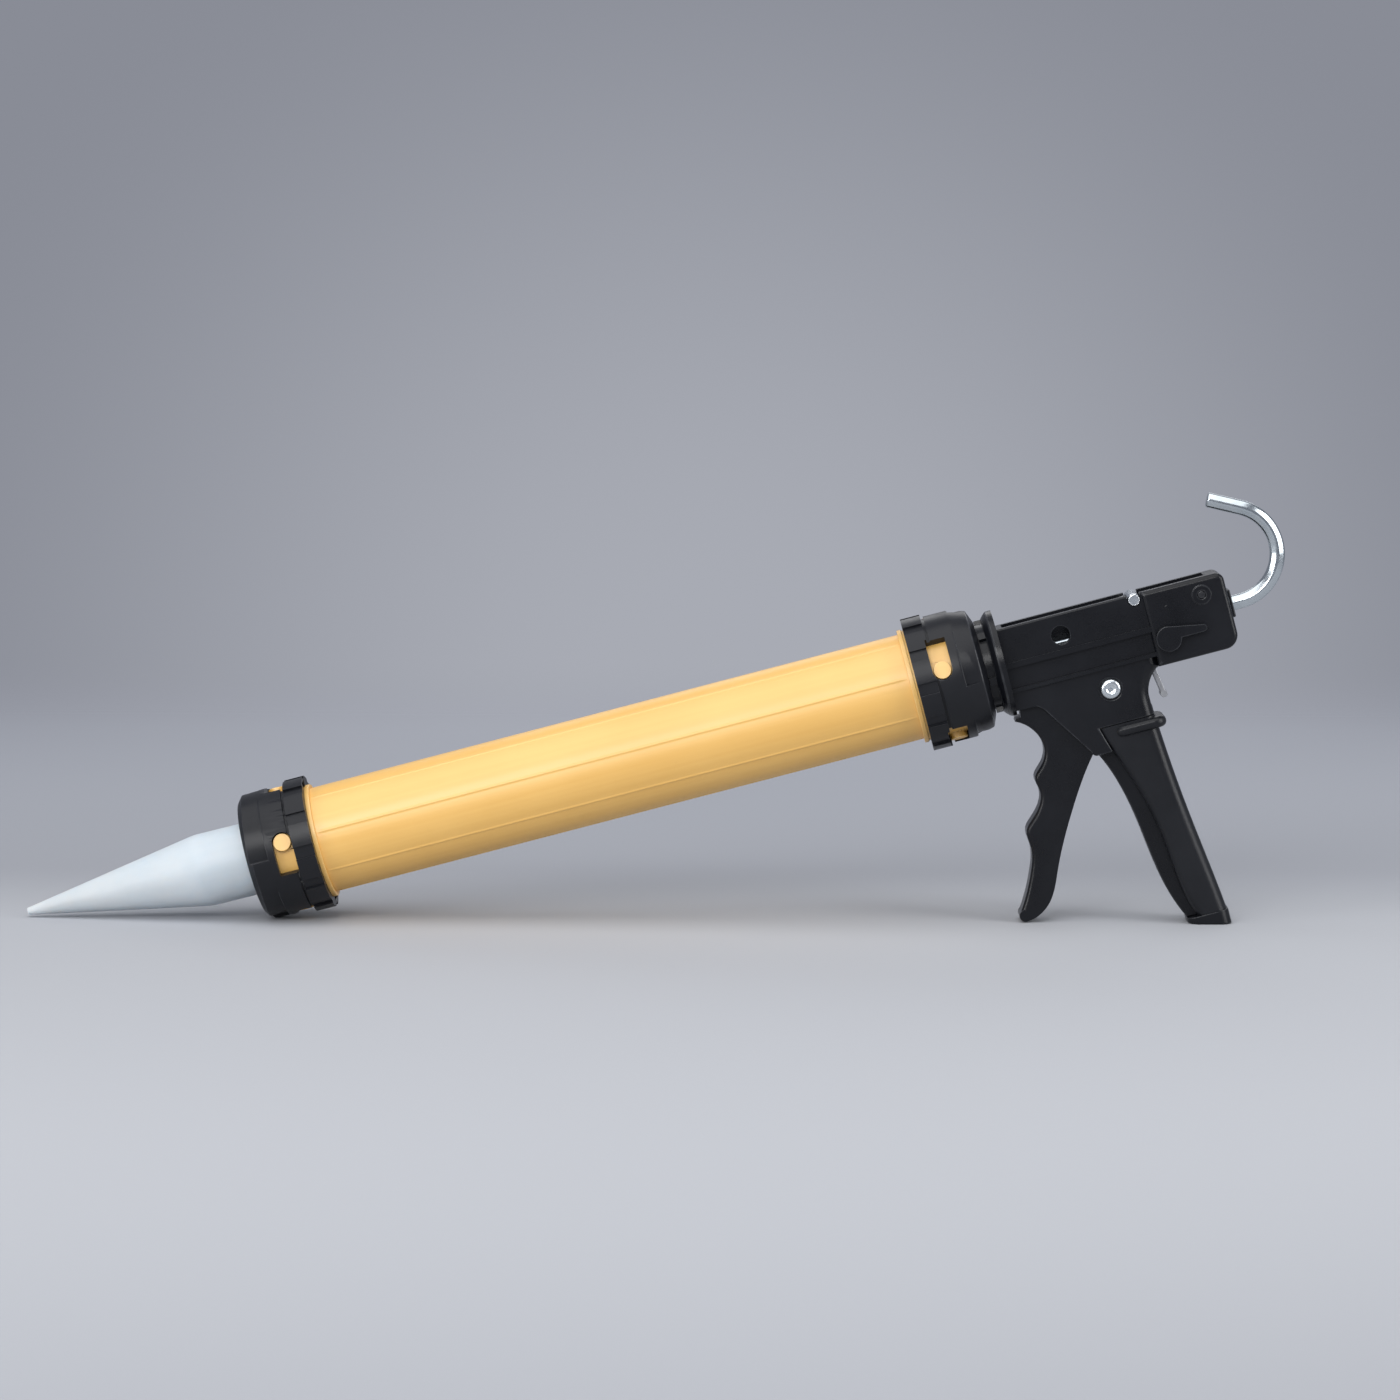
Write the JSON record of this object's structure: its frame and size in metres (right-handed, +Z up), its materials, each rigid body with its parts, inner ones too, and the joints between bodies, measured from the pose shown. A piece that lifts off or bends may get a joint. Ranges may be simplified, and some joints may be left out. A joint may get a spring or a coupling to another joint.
{
  "type": "bulk caulking gun",
  "caption": "Bulk caulking gun with a yellow bayonet-capped barrel, cone nozzle, black channel frame with trigger and grip, and a hexagon push rod bent into a ladder hook.",
  "frame": {"origin": "middle of the gun's box, on the table it lies on", "axes": "+X level towards the hook end, +Y across the gun away from the lock lever, +Z up"},
  "size_m": [0.6666, 0.0718, 0.2291],
  "materials": {
    "white_plastic": "translucent white, smooth moulded",
    "black_plastic": "fine moulded grain",
    "yellow_plastic": "satin with faint lengthwise lines",
    "grip_skin": "matt soft-touch skin",
    "zinc_plate": "bright zinc plate",
    "spring_steel": "plain steel",
    "natural_nylon": "natural nylon",
    "seal_rubber": "black rubber"
  },
  "bodies": {
    "frame": {"frame": "black_plastic", "front_bushing": "natural_nylon", "rear_guide": "black_plastic", "guide_pin": "spring_steel", "catch_pin": "zinc_plate", "catch_spring": "spring_steel", "drive_spring": "spring_steel", "trigger_pin": "zinc_plate", "trigger_pin_clip": "spring_steel", "grip_sleeve": "grip_skin", "grip_foot": "black_plastic", "swivel_washer": "natural_nylon", "swivel_clip": "spring_steel"},
    "rear_cap": {"rear_cap": "black_plastic"},
    "barrel": {"barrel_tube": "yellow_plastic", "front_collar": "yellow_plastic", "rear_collar": "yellow_plastic"},
    "front_cap": {"front_cap": "black_plastic", "nozzle": "white_plastic"},
    "rod": {"rod": "zinc_plate", "piston": "natural_nylon", "piston_seal": "seal_rubber", "piston_washer": "zinc_plate", "piston_screw": "zinc_plate"},
    "trigger": {"trigger": "black_plastic"},
    "drive_plate": {"drive_plate": "spring_steel"},
    "catch_plate": {"catch_plate": "spring_steel"},
    "lock_lever": {"lock_lever": "black_plastic", "lever_clip": "spring_steel"}
  },
  "joints": [
    {"name": "barrel_spin", "type": "hinge", "parent": "frame", "child": "rear_cap", "pos_m": [0.17473, 0, 0.13563], "axis": [0.9667, 0, 0.2558], "continuous": true},
    {"name": "barrel_twist", "type": "hinge", "parent": "rear_cap", "child": "barrel", "pos_m": [0.17473, 0, 0.13563], "axis": [-0.9667, 0, -0.2558], "range_deg": [0, 20]},
    {"name": "front_cap_twist", "type": "hinge", "parent": "barrel", "child": "front_cap", "pos_m": [-0.20876, 0, 0.03414], "axis": [-0.9667, 0, -0.2558], "range_deg": [0, 20]},
    {"name": "rod_slide", "type": "slide", "parent": "frame", "child": "rod", "axis": [0.9667, 0, 0.2558], "range_m": [0, 0.355]},
    {"name": "trigger_pull", "type": "hinge", "parent": "frame", "child": "trigger", "pos_m": [0.24102, 0, 0.12555], "axis": [0, -1, 0], "range_deg": [0, 17], "stiffness_Nm_per_rad": 0.5, "springref_deg": -11.46},
    {"name": "drive_slide", "type": "slide", "parent": "frame", "child": "drive_plate", "axis": [-0.9667, 0, -0.2558], "range_m": [0, 0.00574], "deforming": ["drive_spring"]},
    {"name": "catch_release", "type": "hinge", "parent": "frame", "child": "catch_plate", "pos_m": [0.25281, 0, 0.17284], "axis": [0, 1, 0], "range_deg": [0, 5], "stiffness_Nm_per_rad": 0.3, "springref_deg": -11.46, "deforming": ["catch_spring"]},
    {"name": "lock_lever_turn", "type": "hinge", "parent": "frame", "child": "lock_lever", "pos_m": [0.27109, 0, 0.15265], "axis": [0, -1, 0], "range_deg": [0, 60]}
  ],
  "couplings": [
    {"joint": "drive_slide", "follows": "trigger_pull", "m_per_rad": 0.019223}
  ]
}
